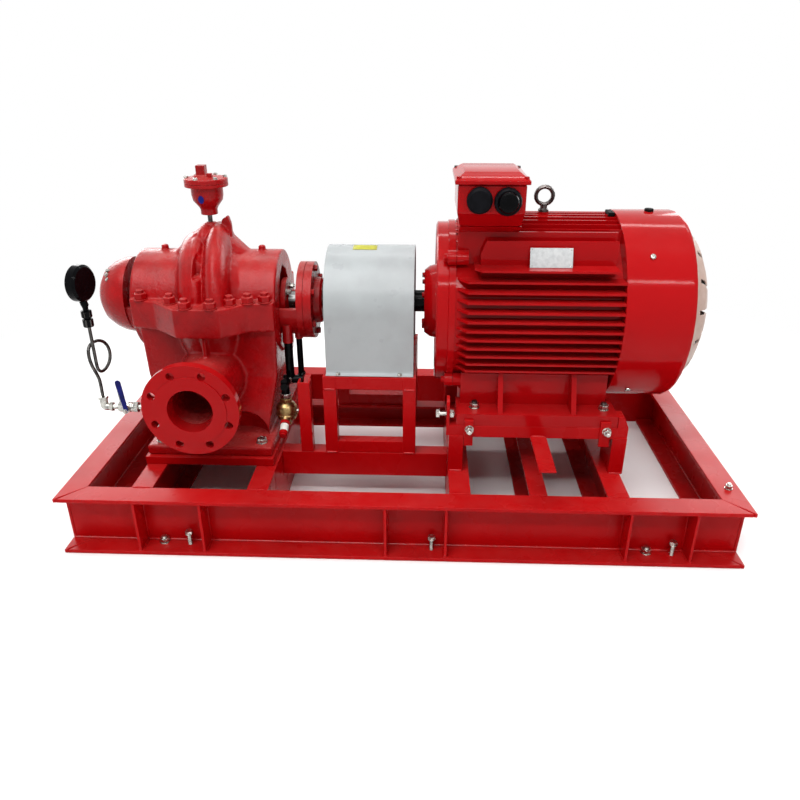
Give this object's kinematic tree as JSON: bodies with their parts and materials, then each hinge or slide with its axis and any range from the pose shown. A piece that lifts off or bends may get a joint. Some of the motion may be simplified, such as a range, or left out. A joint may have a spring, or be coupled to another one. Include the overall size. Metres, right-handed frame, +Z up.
{
  "type": "horizontal split-case fire pump set with electric motor on a steel skid",
  "caption": "Split-case fire pump, flexible coupling under a sheet guard and a finned electric motor, on a welded channel skid with gauge and relief lines.",
  "frame": {"origin": "on the ground under the middle of the skid", "axes": "+X along the shaft from the pump to the motor, +Z up, the suction flange faces -Y"},
  "size_m": [1.9, 0.95, 1.0118],
  "materials": {
    "red_paint": "glossy red paint on rolled steel",
    "red_casting": "glossy red paint on a grainy casting",
    "bright_steel": "plated steel",
    "black_paint": "black, half gloss",
    "brass": "cast brass",
    "blue_grip": "blue dipped plastic",
    "grey_sheet": "light grey powder coat"
  },
  "bodies": {
    "base": {"skid_front_rail": "red_paint", "skid_back_rail": "red_paint", "skid_left_rail": "red_paint", "skid_right_rail": "red_paint", "pump_cross_beam_left": "red_paint", "pump_cross_beam_right": "red_paint", "motor_cross_beam_left": "red_paint", "motor_cross_beam_middle": "red_paint", "motor_cross_beam_right": "red_paint", "guard_beam_front": "red_paint", "guard_beam_back": "red_paint", "pump_base_plate": "red_paint", "pump_lower_casing": "red_casting", "pump_upper_casing": "red_casting", "bearing_housing_left": "red_casting", "bearing_housing_right": "red_casting", "gland_left": "bright_steel", "gland_right": "bright_steel", "air_vent_body": "red_casting", "air_vent_cover": "red_casting", "siphon_tube": "bright_steel", "gauge_case": "black_paint", "ball_valve_body": "bright_steel", "relief_valve": "brass", "relief_outlet": "red_paint", "seal_pipes": "black_paint", "coupling_guard": "grey_sheet", "guard_stand": "red_paint", "pipe_post": "red_paint", "motor_frame": "red_casting", "drive_end_shield": "red_casting", "fan_end_shield": "red_casting", "fan_cowl": "red_paint", "terminal_box": "red_paint", "terminal_box_lid": "red_paint", "cable_plug": "black_paint", "cable_gland": "black_paint", "eye_bolt": "bright_steel", "motor_rail_front": "red_paint", "motor_rail_back": "red_paint", "rail_bar": "red_paint"},
    "rotor": {"pump_shaft": "bright_steel", "coupling": "black_paint", "motor_shaft": "black_paint", "cooling_fan": "black_paint"},
    "valve_lever": {"ball_valve_lever": "blue_grip"}
  },
  "joints": [
    {"name": "rotor_spin", "type": "hinge", "parent": "base", "child": "rotor", "pos_m": [0, 0, 0.605], "axis": [1, 0, 0], "continuous": true},
    {"name": "gauge_valve_turn", "type": "hinge", "parent": "base", "child": "valve_lever", "pos_m": [-0.752, -0.362, 0.398], "axis": [0, -1, 0], "range_deg": [0, 90]}
  ]
}
